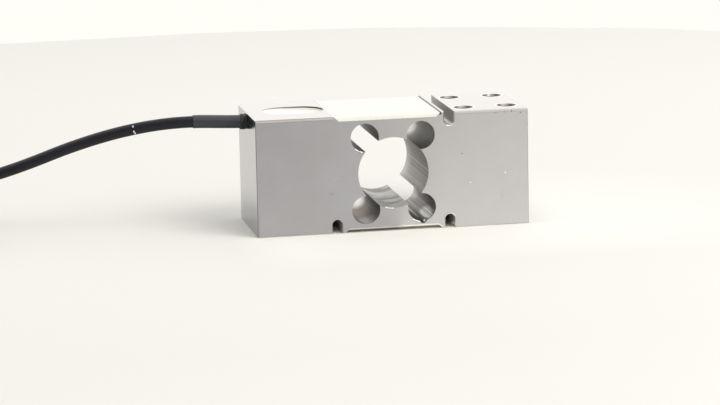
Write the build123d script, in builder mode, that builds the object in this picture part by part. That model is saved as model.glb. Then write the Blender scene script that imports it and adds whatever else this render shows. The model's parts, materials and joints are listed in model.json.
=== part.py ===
from build123d import *
import math
import os

# Single point load cell: a machined aluminium bending beam with a clover shaped
# window, foil gauges under white silicone, a potted wiring pocket and a cable.
# Frame: X along the beam, +X at the loading end, +Z up, origin at the middle of
# the underside. Millimetres.

# Beam block
LENGTH = 150.0
WIDTH = 60.0
HEIGHT = 64.0
EDGE_CHAMFER = 0.4

# Clover window: the corner bores leave the thin webs under the gauges, and
# the middle bore breaks into them
CORNER_BORE_D = 15.5
CORNER_BORE_X = 15.4
WEB_THICKNESS = 2.2
BREAK_THROUGH = 2.03

# Gauge recesses, with ramped ends
RECESS_DEPTH = 2.2
RECESS_RAMP_ANGLE = 40.0
RECESS_FLOOR_MARGIN = 0.88
TOP_RECESS_EXTRA = 5.1

# Relief slots that separate the gauged middle from the end blocks
SLOT_WIDTH = 5.5
SLOT_DEPTH = 7.6
SLOT_TO_RECESS = 1.4

# Wiring pocket at the fixed end
POCKET_WIDTH = 24.0
POCKET_DEPTH = 14.0
POCKET_TO_RECESS = 0.75
POTTING_DROP_LEFT = 0.35
POTTING_DROP_RIGHT = 1.2

# Tapped mounting holes
HOLE_TAP_D = 8.5
HOLE_MOUTH_D = 10.8
HOLE_DEPTH = 18.0
HOLE_POINT_ANGLE = 118.0
HOLE_PITCH_X = 24.0
HOLE_PITCH_Y = 36.0
HOLE_END_DISTANCE = 9.3
COUNTERSINK_ANGLE = 90.0

# File and burr marks left by the corner trimming
TRIM_BURR_D = 4.2
TRIM_BURR_OFFSET = 0.6
TRIM_BURR_DEPTH = 1.15
TRIM_BURR_RUN = 11.0
FILE_MARK_WIDTH = 5.0
FILE_MARK_DEPTH = 0.7
FILE_MARK_TALL = 4.0

# Silicone covers over the gauges
TOP_COVER_DROP = 0.45
TOP_COVER_END_GAP = 0.35
TOP_COVER_EDGE_R = 0.8
BOTTOM_COVER_DROP = 0.3
BOTTOM_COVER_SETBACK = 1.2

# Foil gauges
GAUGE_LENGTH = 9.6
GAUGE_WIDTH = 6.4
GAUGE_FILM = 0.12
GRID_FOIL = 0.06
GRID_LENGTH = 4.6
GRID_LINE = 0.3
GRID_LINES = 7
GAUGE_PAD_LENGTH = 2.0
GAUGE_PAD_WIDTH = 2.2

# Solder terminal strips
TERMINAL_TO_GAUGE = 0.3
TERMINAL_LENGTH = 3.0
TERMINAL_WIDTH = 11.0
TERMINAL_FILM = 0.3
TERMINAL_PAD = 1.8
TERMINAL_PAD_FOIL = 0.1
TERMINAL_PITCH = 2.6
TERMINALS = 4

# Compensation board in the pocket
BOARD_LENGTH = 18.0
BOARD_WIDTH = 16.0
BOARD_THICKNESS = 1.6
BOARD_CORNER_R = 1.0
BOARD_RIGHT_ROOM = 6.65
BOARD_PAD_THICKNESS = 1.0
BOARD_PAD_MARGIN = 1.5
BOARD_EDGE_MARGIN = 1.8
BOARD_LAND_D = 1.9
BOARD_LAND_FOIL = 0.1
BOARD_LAND_PITCH = 3.0
BRIDGE_ROW_GAP = 2.7
RESISTOR_LENGTH = 6.0
RESISTOR_D = 1.8
RESISTOR_PITCH = 3.0
RESISTOR_SHIFT = 1.7
RESISTOR_LEG_D = 0.6
RESISTOR_LEG_SPAN = 9.6
RESISTOR_LIFT = 0.4

# Wire passages
TOP_PASSAGE_D = 3.4
TOP_PASSAGE_TO_TERMINAL = 5.6
TOP_PASSAGE_DROP = 5.07
TOP_PASSAGE_OVERRUN = 3.7
BOTTOM_PASSAGE_D = 2.8
BOTTOM_PASSAGE_TO_WALL = 4.35
BOTTOM_PASSAGE_TO_TERMINAL = 2.9
PASSAGE_CUT_EXTRA = 1.0

# Wires
BRIDGE_WIRE_D = 0.6
BRIDGE_WIRE_OFFSET = 0.42
BRIDGE_BEND_R = 0.63
BRIDGE_WIRE_REACH = 9.35
BRIDGE_WIRE_RISE = 2.5
JUMPER_WIRE_D = 0.3
JUMPER_BEND_R = 0.4
JUMPER_Y = 4.4
SOLDER_FILM = 0.03
CORE_D = 1.3
DRAIN_D = 0.8
CORE_OFFSET = 0.85
CORE_BEND_R = 1.2
CORE_ARCH = 5.3
CORE_REACH = 6.7

# Cable and what holds it
CABLE_D = 6.4
CABLE_DROP = 4.8
CABLE_BORE_D = 7.4
CABLE_IN_POCKET = 3.85
SLEEVE_D = 7.2
SLEEVE_OUTSIDE = 29.5
SLEEVE_INSIDE = 6.5
SEAL_D = 8.4
SEAL_LENGTH = 3.2
CLAMP_D = 7.6
SEAL_EDGE_R = 0.64
CLAMP_LENGTH = 2.2
CLAMP_TO_CABLE_END = 2.0

# Cable coil, wound flat on the surface the beam stands on
COIL_DISTANCE = 203.0
COIL_APPROACH = 16.0
COIL_APPROACH_RISE = 1.2
COIL_PITCH = 6.5
COIL_MIDDLE_R = 36.5
COIL_GROOVE_GAP = 0.4
ARC_SHARE = 0.45
TAIL_LENGTH = 24.0
LEAD_D = 1.4
LEAD_TIP_D = 0.8
LEAD_TIP = 6.0
LEAD_RUNS = (4.0, 8.5, 8.5)
LEAD_BEND_R = 3.0
LEAD_LIFT = 0.2
LEAD_FAN_SHARE = 0.55

# Worked out from the above: the middle of the beam first, then outwards
HALF_LENGTH = LENGTH / 2
HALF_WIDTH = WIDTH / 2
WINDOW_Z = HEIGHT / 2
CORNER_BORE_Z = WINDOW_Z - RECESS_DEPTH - WEB_THICKNESS - CORNER_BORE_D / 2
WINDOW_BORE_R = math.hypot(CORNER_BORE_X, CORNER_BORE_Z) - CORNER_BORE_D / 2 + BREAK_THROUGH
RAMP_RUN = RECESS_DEPTH / math.tan(math.radians(RECESS_RAMP_ANGLE))
TERMINAL_X = -CORNER_BORE_X - GAUGE_LENGTH / 2 - TERMINAL_TO_GAUGE - TERMINAL_LENGTH / 2
RECESS_END = -TERMINAL_X + TERMINAL_LENGTH / 2 + RECESS_FLOOR_MARGIN + RAMP_RUN
TOP_RECESS_LEFT = -RECESS_END - TOP_RECESS_EXTRA
SLOT_X = RECESS_END + SLOT_TO_RECESS + SLOT_WIDTH / 2
HOLE_CENTRE_X = HALF_LENGTH - HOLE_END_DISTANCE - HOLE_PITCH_X / 2
TOP_PASSAGE_X = TERMINAL_X - TOP_PASSAGE_TO_TERMINAL
BOTTOM_PASSAGE_END_X = TERMINAL_X - BOTTOM_PASSAGE_TO_TERMINAL
POCKET_RIGHT = TOP_RECESS_LEFT - POCKET_TO_RECESS
BOTTOM_PASSAGE_TOP_X = POCKET_RIGHT - BOTTOM_PASSAGE_TO_WALL
BOARD_X = POCKET_RIGHT - BOARD_RIGHT_ROOM - BOARD_LENGTH / 2
CORE_ROW_X = BOARD_X - BOARD_LENGTH / 2 + BOARD_EDGE_MARGIN
BOTTOM_ROW_X = BOARD_X + BOARD_LENGTH / 2 - BOARD_EDGE_MARGIN
TOP_ROW_X = BOTTOM_ROW_X - BRIDGE_ROW_GAP
RESISTOR_X = BOARD_X - RESISTOR_SHIFT
CABLE_INNER_END_X = CORE_ROW_X - CORE_REACH
POCKET_LEFT = CABLE_INNER_END_X - CABLE_IN_POCKET
POCKET_LENGTH = POCKET_RIGHT - POCKET_LEFT
POCKET_X = (POCKET_LEFT + POCKET_RIGHT) / 2
CABLE_Z = HEIGHT - CABLE_DROP
COIL_X = -HALF_LENGTH - COIL_DISTANCE
TOP_FLOOR_Z = HEIGHT - RECESS_DEPTH
BOTTOM_FLOOR_Z = RECESS_DEPTH
POCKET_FLOOR_Z = HEIGHT - POCKET_DEPTH
BOARD_Z = POCKET_FLOOR_Z + BOARD_PAD_THICKNESS
BOARD_TOP_Z = BOARD_Z + BOARD_THICKNESS
LAND_TOP_Z = BOARD_TOP_Z + BOARD_LAND_FOIL
CABLE_R = CABLE_D / 2
COIL_LAYER = math.sqrt(CABLE_D**2 - (COIL_PITCH / 2) ** 2)
COIL_TOP_Z = CABLE_R + 2 * COIL_LAYER

os.makedirs("parts", exist_ok=True)


def keep(piece, name):
    """Label a finished piece and write its STEP file."""
    piece.part.label = name
    export_step(piece.part, f"parts/{name}.step")


# Spring body
with BuildPart() as spring_body:
    with BuildSketch(Plane.XZ) as side_profile:
        with Locations((0, WINDOW_Z)):
            Rectangle(LENGTH, HEIGHT)
        chamfer(side_profile.vertices(), EDGE_CHAMFER)
        with BuildLine():
            Polyline(
                (TOP_RECESS_LEFT, HEIGHT),
                (TOP_RECESS_LEFT + RAMP_RUN, TOP_FLOOR_Z),
                (RECESS_END - RAMP_RUN, TOP_FLOOR_Z),
                (RECESS_END, HEIGHT),
                close=True,
            )
        make_face(mode=Mode.SUBTRACT)
        with BuildLine():
            Polyline(
                (-RECESS_END, 0),
                (RAMP_RUN - RECESS_END, BOTTOM_FLOOR_Z),
                (RECESS_END - RAMP_RUN, BOTTOM_FLOOR_Z),
                (RECESS_END, 0),
                close=True,
            )
        make_face(mode=Mode.SUBTRACT)
        with Locations((SLOT_X, HEIGHT), (-SLOT_X, 0), (SLOT_X, 0)):
            SlotOverall(2 * SLOT_DEPTH, SLOT_WIDTH, rotation=90, mode=Mode.SUBTRACT)
    extrude(amount=HALF_WIDTH, both=True)
    for side_face in (spring_body.faces().sort_by(Axis.Y)[0], spring_body.faces().sort_by(Axis.Y)[-1]):
        chamfer(side_face.outer_wire().edges(), EDGE_CHAMFER)

    # Clover window: one large bore and four corner bores that break into it
    with BuildSketch(Plane.XZ) as window_profile:
        with Locations((0, WINDOW_Z)):
            Circle(WINDOW_BORE_R)
            with GridLocations(2 * CORNER_BORE_X, 2 * CORNER_BORE_Z, 2, 2):
                Circle(CORNER_BORE_D / 2)
    extrude(amount=HALF_WIDTH, both=True, mode=Mode.SUBTRACT)

    # Wiring pocket, cable bore and wire passages
    with BuildSketch(Plane.XY.offset(HEIGHT)) as pocket_profile:
        with Locations((POCKET_X, 0)):
            SlotOverall(POCKET_LENGTH, POCKET_WIDTH)
    extrude(amount=-POCKET_DEPTH, mode=Mode.SUBTRACT)
    with BuildSketch(Plane.YZ.offset(-HALF_LENGTH)) as cable_bore:
        with Locations((0, CABLE_Z)):
            Circle(CABLE_BORE_D / 2)
    extrude(amount=HALF_LENGTH + CABLE_INNER_END_X, mode=Mode.SUBTRACT)
    top_passage_start = Vector(TOP_PASSAGE_X, 0, TOP_FLOOR_Z)
    top_passage_way = Vector(POCKET_RIGHT, 0, TOP_FLOOR_Z - TOP_PASSAGE_DROP) - top_passage_start
    top_passage_plane = Plane(origin=top_passage_start, x_dir=(0, 1, 0), z_dir=top_passage_way)
    with BuildSketch(top_passage_plane.offset(-TOP_PASSAGE_D / 2)) as top_passage:
        Circle(TOP_PASSAGE_D / 2)
    extrude(amount=top_passage_way.length + TOP_PASSAGE_OVERRUN, mode=Mode.SUBTRACT)
    bottom_passage_start = Vector(BOTTOM_PASSAGE_TOP_X, 0, POCKET_FLOOR_Z)
    bottom_passage_end = Vector(BOTTOM_PASSAGE_END_X, 0, BOTTOM_FLOOR_Z / 2)
    bottom_passage_way = bottom_passage_end - bottom_passage_start
    bottom_passage_plane = Plane(
        origin=bottom_passage_start,
        x_dir=(0, 1, 0),
        z_dir=bottom_passage_way,
    )
    with BuildSketch(bottom_passage_plane.offset(-PASSAGE_CUT_EXTRA)) as bottom_passage:
        Circle(BOTTOM_PASSAGE_D / 2)
    extrude(amount=bottom_passage_way.length + PASSAGE_CUT_EXTRA, mode=Mode.SUBTRACT)

    # Tapped holes: load end from above, fixed end from below
    load_end = Plane(origin=(HOLE_CENTRE_X, 0, HEIGHT), z_dir=(0, 0, 1))
    fixed_end = Plane(origin=(-HOLE_CENTRE_X, 0, 0), z_dir=(0, 0, -1))
    point_depth = HOLE_TAP_D / 2 / math.tan(math.radians(HOLE_POINT_ANGLE / 2))
    for hole_face in (load_end, fixed_end):
        with Locations(hole_face):
            with GridLocations(HOLE_PITCH_X, HOLE_PITCH_Y, 2, 2):
                CounterSinkHole(HOLE_TAP_D / 2, HOLE_MOUTH_D / 2, HOLE_DEPTH, COUNTERSINK_ANGLE)
        with Locations(hole_face.offset(-HOLE_DEPTH - point_depth / 2)):
            with GridLocations(HOLE_PITCH_X, HOLE_PITCH_Y, 2, 2):
                Cone(0, HOLE_TAP_D / 2, point_depth, mode=Mode.SUBTRACT)

    # Trim burr: a round groove from the front edge into the lower right corner bore
    corner_bore_floor = WINDOW_Z - CORNER_BORE_Z - CORNER_BORE_D / 2
    burr_x = CORNER_BORE_X + TRIM_BURR_OFFSET
    burr_start = Vector(burr_x, -HALF_WIDTH, corner_bore_floor - TRIM_BURR_DEPTH + TRIM_BURR_D / 2)
    burr_end = Vector(burr_x, TRIM_BURR_RUN - HALF_WIDTH, corner_bore_floor + TRIM_BURR_D / 2)
    burr_plane = Plane(origin=burr_start, x_dir=(1, 0, 0), z_dir=burr_end - burr_start)
    with BuildSketch(burr_plane.offset(-TRIM_BURR_D)) as burr_profile:
        Circle(TRIM_BURR_D / 2)
    extrude(amount=TRIM_BURR_RUN + 2 * TRIM_BURR_D, mode=Mode.SUBTRACT)

    # File marks: flat bevels across the front edge of a bore, at an angle round it
    file_marks = (
        (-CORNER_BORE_X, WINDOW_Z + CORNER_BORE_Z, CORNER_BORE_D, 245),
        (0, WINDOW_Z, 2 * WINDOW_BORE_R, 263),
        (CORNER_BORE_X, WINDOW_Z - CORNER_BORE_Z, CORNER_BORE_D, 248),
    )
    for bore_x, bore_z, bore_d, round_angle in file_marks:
        turn = math.radians(round_angle)
        outward = Vector(math.cos(turn), 0, math.sin(turn))
        to_air = (Vector(0, -1, 0) - outward).normalized()
        edge_point = Vector(bore_x, -HALF_WIDTH, bore_z) + outward * (bore_d / 2)
        mark_plane = Plane(
            origin=edge_point - to_air * (FILE_MARK_DEPTH / math.sqrt(2)),
            x_dir=outward.cross(Vector(0, 1, 0)),
            z_dir=to_air,
        )
        with BuildSketch(mark_plane) as file_mark:
            Rectangle(FILE_MARK_WIDTH, FILE_MARK_TALL)
        extrude(amount=FILE_MARK_DEPTH * 2, mode=Mode.SUBTRACT)

keep(spring_body, "spring_body")


def wire(points, diameter, bend):
    """Return a round wire along straight runs joined by tangent arcs."""
    with BuildPart(mode=Mode.PRIVATE) as made:
        with BuildLine() as route:
            if len(points) > 2:
                FilletPolyline(*points, radius=bend)
            else:
                Polyline(*points)
        with BuildSketch(Plane(origin=route.line @ 0, z_dir=route.line % 0)):
            Circle(diameter / 2)
        sweep()
    return made.part


def face_up(side):
    """Return the plane of a recess floor, facing out of the metal."""
    if side == "top":
        return Plane(origin=(0, 0, TOP_FLOOR_Z), x_dir=(1, 0, 0), z_dir=(0, 0, 1))
    return Plane(origin=(0, 0, BOTTOM_FLOOR_Z), x_dir=(1, 0, 0), z_dir=(0, 0, -1))


# Foil gauges, one over each thin web
gauge_nodes = []
grid_pitch = 2 * GRID_LINE
grid_width = (GRID_LINES - 1) * grid_pitch + GRID_LINE
gauge_land_x = (GAUGE_PAD_LENGTH - GAUGE_LENGTH) / 2 + GRID_LINE
grid_x = gauge_land_x + GAUGE_PAD_LENGTH / 2 + GRID_LINE + GRID_LENGTH / 2
for side, end, gauge_x in (
    ("top", "left", -CORNER_BORE_X),
    ("top", "right", CORNER_BORE_X),
    ("bottom", "left", -CORNER_BORE_X),
    ("bottom", "right", CORNER_BORE_X),
):
    floor = face_up(side)
    with BuildPart() as gauge:
        with BuildSketch(floor) as film:
            with Locations((gauge_x, 0)):
                RectangleRounded(GAUGE_LENGTH, GAUGE_WIDTH, GRID_LINE)
        extrude(amount=GAUGE_FILM)
        with BuildSketch(floor.offset(GAUGE_FILM)) as foil:
            with Locations((gauge_x + grid_x, 0)):
                with GridLocations(0, grid_pitch, 1, GRID_LINES):
                    Rectangle(GRID_LENGTH, GRID_LINE)
            for line in range(GRID_LINES - 1):
                loop_side = 1 if line % 2 == 0 else -1
                loop_y = (line - (GRID_LINES - 2) / 2) * grid_pitch
                loop_x = gauge_x + grid_x + loop_side * (GRID_LENGTH - GRID_LINE) / 2
                with Locations((loop_x, loop_y)):
                    Rectangle(GRID_LINE, 2 * grid_pitch - GRID_LINE)
            for land_side in (1, -1):
                land_y = land_side * (grid_width - GAUGE_PAD_WIDTH) / 2
                with Locations((gauge_x + gauge_land_x, land_y)):
                    Rectangle(GAUGE_PAD_LENGTH, GAUGE_PAD_WIDTH)
                lead_x = gauge_x + gauge_land_x + GAUGE_PAD_LENGTH / 2 + GRID_LINE / 2
                with Locations((lead_x, land_side * (grid_width - GRID_LINE) / 2)):
                    Rectangle(2 * GRID_LINE, GRID_LINE)
        extrude(amount=GRID_FOIL)
    keep(gauge, f"{side}_gauge_{end}")
    gauge_nodes.append((side, gauge.part))

# Solder terminal strips beside the wire passages
terminal_nodes = []
for side in ("top", "bottom"):
    floor = face_up(side)
    with BuildPart() as terminals:
        with BuildSketch(floor) as strip:
            with Locations((TERMINAL_X, 0)):
                RectangleRounded(TERMINAL_LENGTH, TERMINAL_WIDTH, GRID_LINE)
        extrude(amount=TERMINAL_FILM)
        with BuildSketch(floor.offset(TERMINAL_FILM)) as lands:
            with Locations((TERMINAL_X, 0)):
                with GridLocations(0, TERMINAL_PITCH, 1, TERMINALS):
                    Rectangle(TERMINAL_PAD, TERMINAL_PAD)
        extrude(amount=TERMINAL_PAD_FOIL)
    keep(terminals, f"{side}_solder_terminals")
    terminal_nodes.append((side, terminals.part))

# Compensation board on its insulating pad
with BuildPart() as board_insulating_pad:
    with BuildSketch(Plane.XY.offset(POCKET_FLOOR_Z)) as pad_outline:
        with Locations((BOARD_X, 0)):
            Rectangle(BOARD_LENGTH - 2 * BOARD_PAD_MARGIN, BOARD_WIDTH - 2 * BOARD_PAD_MARGIN)
    extrude(amount=BOARD_PAD_THICKNESS)
keep(board_insulating_pad, "board_insulating_pad")

with BuildPart() as compensation_board:
    with BuildSketch(Plane.XY.offset(BOARD_Z)) as board_outline:
        with Locations((BOARD_X, 0)):
            RectangleRounded(BOARD_LENGTH, BOARD_WIDTH, BOARD_CORNER_R)
    extrude(amount=BOARD_THICKNESS)
    with BuildSketch(Plane.XY.offset(BOARD_TOP_Z)) as board_lands:
        with Locations((CORE_ROW_X, 0)):
            with GridLocations(0, BOARD_LAND_PITCH, 1, TERMINALS + 1):
                Circle(BOARD_LAND_D / 2)
        for row_x in (TOP_ROW_X, BOTTOM_ROW_X):
            with Locations((row_x, 0)):
                with GridLocations(0, BOARD_LAND_PITCH, 1, TERMINALS):
                    Circle(BOARD_LAND_D / 2)
    extrude(amount=BOARD_LAND_FOIL)
keep(compensation_board, "compensation_board")

resistor_axis_z = BOARD_TOP_Z + RESISTOR_LIFT + RESISTOR_D / 2
resistor_nodes = []
for place, name in enumerate(("zero_trim_resistor", "span_trim_resistor", "temperature_resistor")):
    resistor_x = RESISTOR_X + (place - 1) * RESISTOR_PITCH
    with BuildPart() as resistor:
        with BuildSketch(Plane.XZ.offset(-RESISTOR_LENGTH / 2)) as resistor_end:
            with Locations((resistor_x, resistor_axis_z)):
                Circle(RESISTOR_D / 2)
        extrude(amount=RESISTOR_LENGTH)
        fillet(resistor.edges().filter_by(GeomType.CIRCLE), RESISTOR_D / 5)
        add(
            wire(
                [
                    (resistor_x, -RESISTOR_LEG_SPAN / 2, BOARD_TOP_Z),
                    (resistor_x, -RESISTOR_LEG_SPAN / 2, resistor_axis_z),
                    (resistor_x, RESISTOR_LEG_SPAN / 2, resistor_axis_z),
                    (resistor_x, RESISTOR_LEG_SPAN / 2, BOARD_TOP_Z),
                ],
                RESISTOR_LEG_D,
                RESISTOR_LEG_D,
            )
        )
    keep(resistor, name)
    resistor_nodes.append(resistor.part)

# Bridge wires: board to terminal strips, through the two passages
terminal_wire_drop = TERMINAL_FILM + TERMINAL_PAD_FOIL + SOLDER_FILM + BRIDGE_WIRE_D / 2
offsets = (
    (-BRIDGE_WIRE_OFFSET, 1),
    (-BRIDGE_WIRE_OFFSET, -1),
    (BRIDGE_WIRE_OFFSET, -1),
    (BRIDGE_WIRE_OFFSET, 1),
)
terminal_start_x = TERMINAL_X - TERMINAL_PAD / 2
terminal_stop_x = TERMINAL_X + TERMINAL_PAD / 4
top_way = top_passage_way.normalized()
top_side = Vector(top_way.Z, 0, -top_way.X)
top_wire_z = TOP_FLOOR_Z + terminal_wire_drop
with BuildPart() as top_bridge_wires:
    for place, (wire_y, level) in enumerate(offsets):
        land_y = (place - (TERMINALS - 1) / 2) * BOARD_LAND_PITCH
        terminal_y = (place - (TERMINALS - 1) / 2) * TERMINAL_PITCH
        shift = top_side * (level * BRIDGE_WIRE_OFFSET) + Vector(0, wire_y, 0)
        start = Vector(TOP_PASSAGE_X, 0, TOP_FLOOR_Z) + shift
        reach = (top_wire_z - start.Z) / top_way.Z
        inner = start + top_way * BRIDGE_WIRE_REACH
        outer = start + top_way * reach
        add(
            wire(
                [
                    (TOP_ROW_X, land_y, LAND_TOP_Z),
                    (TOP_ROW_X, land_y, inner.Z + level * BRIDGE_WIRE_OFFSET),
                    inner,
                    outer,
                    (terminal_start_x, terminal_y, top_wire_z),
                    (terminal_stop_x, terminal_y, top_wire_z),
                ],
                BRIDGE_WIRE_D,
                BRIDGE_BEND_R,
            )
        )
keep(top_bridge_wires, "top_bridge_wires")

bottom_way = bottom_passage_way.normalized()
bottom_side = Vector(-bottom_way.Z, 0, bottom_way.X)
bottom_wire_z = BOTTOM_FLOOR_Z - terminal_wire_drop
with BuildPart() as bottom_bridge_wires:
    for place, (wire_y, level) in enumerate(offsets):
        land_y = (place - (TERMINALS - 1) / 2) * BOARD_LAND_PITCH
        terminal_y = math.copysign((1 - level / 2) * TERMINAL_PITCH, wire_y)
        shift = bottom_side * (level * BRIDGE_WIRE_OFFSET) + Vector(0, wire_y, 0)
        start = bottom_passage_start + shift
        inner = start - bottom_way * ((LAND_TOP_Z + level - POCKET_FLOOR_Z) / -bottom_way.Z)
        outer = start + bottom_way * ((bottom_wire_z - start.Z) / bottom_way.Z)
        add(
            wire(
                [
                    (BOTTOM_ROW_X, land_y, LAND_TOP_Z),
                    (BOTTOM_ROW_X, land_y, LAND_TOP_Z + BRIDGE_WIRE_RISE + level * BRIDGE_WIRE_OFFSET),
                    inner,
                    outer,
                    (terminal_start_x, terminal_y, bottom_wire_z),
                    (terminal_stop_x, terminal_y, bottom_wire_z),
                ],
                BRIDGE_WIRE_D,
                BRIDGE_BEND_R,
            )
        )
keep(bottom_bridge_wires, "bottom_bridge_wires")

# Jumper wires: terminal strips to the lands of each gauge
jumper_nodes = []
jumper_terminal_drop = TERMINAL_FILM + TERMINAL_PAD_FOIL + SOLDER_FILM + JUMPER_WIRE_D / 2
jumper_gauge_drop = GAUGE_FILM + GRID_FOIL + SOLDER_FILM + JUMPER_WIRE_D / 2
near_gauge_x = -CORNER_BORE_X + gauge_land_x
far_gauge_x = CORNER_BORE_X + gauge_land_x
jumper_from_x = TERMINAL_X + TERMINAL_PAD / 3
strip_edge_x = TERMINAL_X + TERMINAL_LENGTH / 2
gauge_land_y = (grid_width - GAUGE_PAD_WIDTH) / 2
for side in ("top", "bottom"):
    up = 1 if side == "top" else -1
    floor_z = TOP_FLOOR_Z if side == "top" else BOTTOM_FLOOR_Z
    terminal_z = floor_z + up * jumper_terminal_drop
    gauge_z = floor_z + up * jumper_gauge_drop
    with BuildPart() as jumpers:
        for hand in (1, -1):
            near_y = hand * TERMINAL_PITCH / 2
            far_y = hand * TERMINAL_PITCH * 1.5
            add(
                wire(
                    [
                        (jumper_from_x, near_y, terminal_z),
                        (strip_edge_x + JUMPER_WIRE_D, near_y, terminal_z),
                        (near_gauge_x - GAUGE_PAD_LENGTH / 2, hand * gauge_land_y, gauge_z),
                        (near_gauge_x + GAUGE_PAD_LENGTH / 4, hand * gauge_land_y, gauge_z),
                    ],
                    JUMPER_WIRE_D,
                    JUMPER_BEND_R,
                )
            )
            add(
                wire(
                    [
                        (jumper_from_x, far_y, terminal_z),
                        (strip_edge_x + JUMPER_WIRE_D, hand * JUMPER_Y, terminal_z),
                        (far_gauge_x - 2 * GAUGE_PAD_LENGTH, hand * JUMPER_Y, gauge_z),
                        (far_gauge_x - GAUGE_PAD_LENGTH / 2, hand * gauge_land_y, gauge_z),
                        (far_gauge_x + GAUGE_PAD_LENGTH / 4, hand * gauge_land_y, gauge_z),
                    ],
                    JUMPER_WIRE_D,
                    JUMPER_BEND_R,
                )
            )
    keep(jumpers, f"{side}_jumper_wires")
    jumper_nodes.append((side, jumpers.part))

# Cable cores and drain wire, from the end of the jacket to the board
cores = (
    ("core_red", -1, 1, 0, CORE_D),
    ("core_black", -1, -1, 1, CORE_D),
    ("core_shield_drain", 0, 0, 2, DRAIN_D),
    ("core_green", 1, -1, 3, CORE_D),
    ("core_white", 1, 1, 4, CORE_D),
)
core_nodes = []
core_turn_x = CABLE_INNER_END_X + 2 * CORE_BEND_R
for name, across, above, place, core_d in cores:
    core_y = across * CORE_OFFSET
    core_z = CABLE_Z + above * CORE_OFFSET
    arch_z = LAND_TOP_Z + CORE_ARCH + above * CORE_OFFSET
    land_y = (place - 2) * BOARD_LAND_PITCH
    with BuildPart() as core:
        add(
            wire(
                [
                    (CABLE_INNER_END_X, core_y, core_z),
                    (core_turn_x, core_y, core_z),
                    (CORE_ROW_X, land_y, arch_z),
                    (CORE_ROW_X, land_y, LAND_TOP_Z),
                ],
                core_d,
                CORE_BEND_R,
            )
        )
    keep(core, name)
    core_nodes.append(core.part)

# Cable: out of the bore, drooping away from the beam and down onto the coil.
# The points are chosen by hand; each arc takes ARC_SHARE of its shorter run.
cable_points = [
    (CABLE_INNER_END_X, 0, CABLE_Z),
    (-HALF_LENGTH - 5, 0, CABLE_Z),
    (-HALF_LENGTH - 35, 0.2, CABLE_Z + 1.7),
    (-HALF_LENGTH - 63, 6.5, CABLE_Z - 2.1),
    (-HALF_LENGTH - 92, 18, CABLE_Z - 11.3),
    (-HALF_LENGTH - 121, 29, 35.4),
    (-HALF_LENGTH - 146, 35.5, 27.6),
    (-HALF_LENGTH - 168, 37.2, 20.5),
    (COIL_X + COIL_APPROACH, COIL_MIDDLE_R, COIL_TOP_Z + COIL_APPROACH_RISE),
    (COIL_X, COIL_MIDDLE_R, COIL_TOP_Z),
]


def arc_radii(points):
    """Return one arc radius for each inner point of a route."""
    radii = []
    for before, here, after in zip(points, points[1:], points[2:]):
        arriving = Vector(*here) - Vector(*before)
        leaving = Vector(*after) - Vector(*here)
        half_turn = math.radians(arriving.get_angle(leaving)) / 2
        radii.append(ARC_SHARE * min(arriving.length, leaving.length) / math.tan(half_turn))
    return radii


cable_radii = arc_radii(cable_points)
print("cable arc radii", [round(radius, 1) for radius in cable_radii])
with BuildPart() as cable:
    with BuildLine() as cable_route:
        FilletPolyline(*cable_points, radius=cable_radii)
    with BuildSketch(Plane(origin=cable_route.line @ 0, z_dir=cable_route.line % 0)):
        Circle(CABLE_R)
    sweep()
keep(cable, "cable")
cable_length = sum(edge.length for edge in cable_route.edges())
print("cable tube length", round(cable_length, 1))
print("cable tube volume over section x length", cable.part.volume / (math.pi * CABLE_R**2 * cable_length))

# Heat-shrink sleeve over the cable, from inside the bore to outside the face
sleeve_from = (CABLE_INNER_END_X + HALF_LENGTH - SLEEVE_INSIDE) / cable_length
sleeve_to = (CABLE_INNER_END_X + HALF_LENGTH + SLEEVE_OUTSIDE) / cable_length
with BuildPart() as cable_sleeve:
    with BuildLine() as sleeve_route:
        add(cable_route.wires()[0].trim(sleeve_from, sleeve_to))
    with BuildSketch(Plane(origin=sleeve_route.line @ 0, z_dir=sleeve_route.line % 0)):
        Circle(SLEEVE_D / 2)
    sweep()
    add(cable.part, mode=Mode.SUBTRACT)
keep(cable_sleeve, "cable_sleeve")

# Sealant collar where the sleeve meets the end face, and clamp on the cable inside
with BuildPart() as cable_seal:
    with BuildSketch(Plane.YZ.offset(-HALF_LENGTH)) as seal_ring:
        with Locations((0, CABLE_Z)):
            Circle(SEAL_D / 2)
    extrude(amount=-SEAL_LENGTH)
    fillet(cable_seal.faces().sort_by(Axis.X)[0].edges(), SEAL_EDGE_R)
    add(cable_sleeve.part, mode=Mode.SUBTRACT)
    add(cable.part, mode=Mode.SUBTRACT)
keep(cable_seal, "cable_seal")

clamp_x = CABLE_INNER_END_X - CLAMP_TO_CABLE_END
with BuildPart() as cable_clamp:
    with BuildSketch(Plane.YZ.offset(clamp_x - CLAMP_LENGTH / 2)) as clamp_ring:
        with Locations((0, CABLE_Z)):
            Circle(CLAMP_D / 2)
            Circle(CABLE_R, mode=Mode.SUBTRACT)
    extrude(amount=CLAMP_LENGTH)
keep(cable_clamp, "cable_clamp")

# Coil: the outer shape of eight turns, four, three and one in its layers, drawn
# round the turns at the corners of the section, and the cable's free tail
coil_corner_turns = (
    (COIL_MIDDLE_R - 2 * COIL_PITCH, CABLE_R),
    (COIL_MIDDLE_R + COIL_PITCH, CABLE_R),
    (COIL_MIDDLE_R - 1.5 * COIL_PITCH, CABLE_R + COIL_LAYER),
    (COIL_MIDDLE_R, COIL_TOP_Z),
)
tail_y = COIL_MIDDLE_R + COIL_PITCH
tail_end_x = COIL_X - TAIL_LENGTH
with BuildPart() as cable_tail:
    with BuildSketch(Plane(origin=(COIL_X, tail_y, CABLE_R), z_dir=(-1, 0, 0))) as tail_section:
        Circle(CABLE_R)
    extrude(amount=TAIL_LENGTH)
keep(cable_tail, "cable_tail")

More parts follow.
